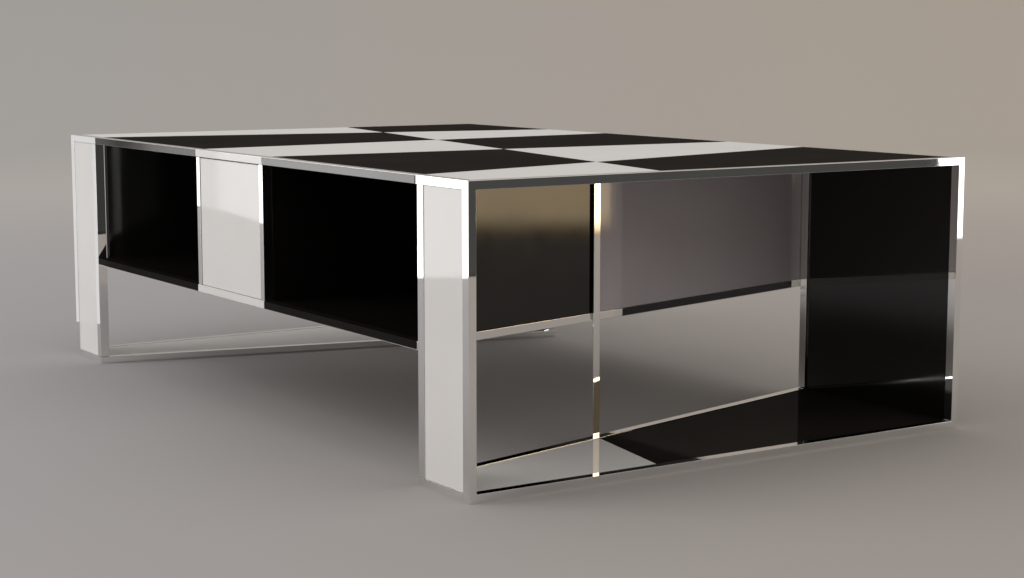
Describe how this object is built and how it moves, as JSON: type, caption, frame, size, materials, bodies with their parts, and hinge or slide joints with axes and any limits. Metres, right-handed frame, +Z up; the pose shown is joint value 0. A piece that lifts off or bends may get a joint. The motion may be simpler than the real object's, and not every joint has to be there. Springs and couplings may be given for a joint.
{
  "type": "coffee table",
  "caption": "Low coffee table in a skewed checkerboard of black and white gloss panels with bright metal edge bars, open shelves, drawers and open-ended block legs.",
  "frame": {"origin": "on the floor under the middle of the table's outline", "axes": "+X along the length towards the near end, +Y across the width towards the right long side, +Z up"},
  "size_m": [1.3, 0.82, 0.386],
  "materials": {
    "bright_bar": "polished",
    "white_glass": "opaque back-painted white, polished",
    "black_glass": "opaque back-painted black, polished",
    "white_lacquer": "white high-gloss lacquer over board",
    "black_lacquer": "black high-gloss lacquer over board",
    "pale_board": "pale grey satin board",
    "zinc_rail": "zinc plated",
    "dark_plastic": "moulded"
  },
  "bodies": {
    "table": {"top_tile_near_end_left": "white_glass", "top_tile_near_end_right": "black_glass", "top_tile_near_left": "black_glass", "top_tile_near_right": "white_glass", "top_tile_middle_left": "white_glass", "top_tile_middle_right": "black_glass", "top_tile_far_left": "black_glass", "top_tile_far_right": "white_glass", "top_tile_far_end_left": "white_glass", "top_tile_far_end_right": "black_glass", "top_board": "black_lacquer", "rim_left": "bright_bar", "rim_right": "bright_bar", "near_end_frame": "bright_bar", "near_base_frame": "bright_bar", "near_left_floor_tile": "white_glass", "near_left_post": "bright_bar", "near_left_side_panel": "white_lacquer", "near_left_end_wall": "black_lacquer", "near_left_partition": "black_lacquer", "near_left_box_post": "bright_bar", "near_right_floor_tile": "black_glass", "near_right_post": "bright_bar", "near_right_side_panel": "black_lacquer", "near_right_end_wall": "white_lacquer", "near_right_partition": "black_lacquer", "near_right_box_post": "bright_bar", "near_centre_post": "bright_bar", "far_end_frame": "bright_bar", "far_base_frame": "bright_bar", "far_left_floor_tile": "white_glass", "far_left_post": "bright_bar", "far_left_side_panel": "white_lacquer", "far_left_end_wall": "black_lacquer", "far_left_partition": "black_lacquer", "far_left_box_post": "bright_bar", "far_right_floor_tile": "black_glass", "far_right_post": "bright_bar", "far_right_side_panel": "black_lacquer", "far_right_end_wall": "white_lacquer", "far_right_partition": "black_lacquer", "far_right_box_post": "bright_bar", "far_centre_post": "bright_bar", "box_frame": "bright_bar", "box_floor": "black_lacquer", "spine": "black_lacquer", "near_right_drawer_rail": "zinc_rail", "near_right_drawer_catch": "dark_plastic", "middle_left_drawer_rail": "zinc_rail", "middle_left_drawer_catch": "dark_plastic", "far_right_drawer_rail": "zinc_rail", "far_right_drawer_catch": "dark_plastic"},
    "near_right_drawer": {"near_right_drawer_front": "white_lacquer", "near_right_drawer_tray": "pale_board"},
    "middle_left_drawer": {"middle_left_drawer_front": "white_lacquer", "middle_left_drawer_tray": "pale_board"},
    "far_right_drawer": {"far_right_drawer_front": "white_lacquer", "far_right_drawer_tray": "pale_board"}
  },
  "joints": [
    {"name": "near_right_drawer_slide", "type": "slide", "parent": "table", "child": "near_right_drawer", "axis": [0, 1, 0], "range_m": [-0.002, 0.27]},
    {"name": "middle_left_drawer_slide", "type": "slide", "parent": "table", "child": "middle_left_drawer", "axis": [0, -1, 0], "range_m": [-0.002, 0.24]},
    {"name": "far_right_drawer_slide", "type": "slide", "parent": "table", "child": "far_right_drawer", "axis": [0, 1, 0], "range_m": [-0.002, 0.19]}
  ]
}
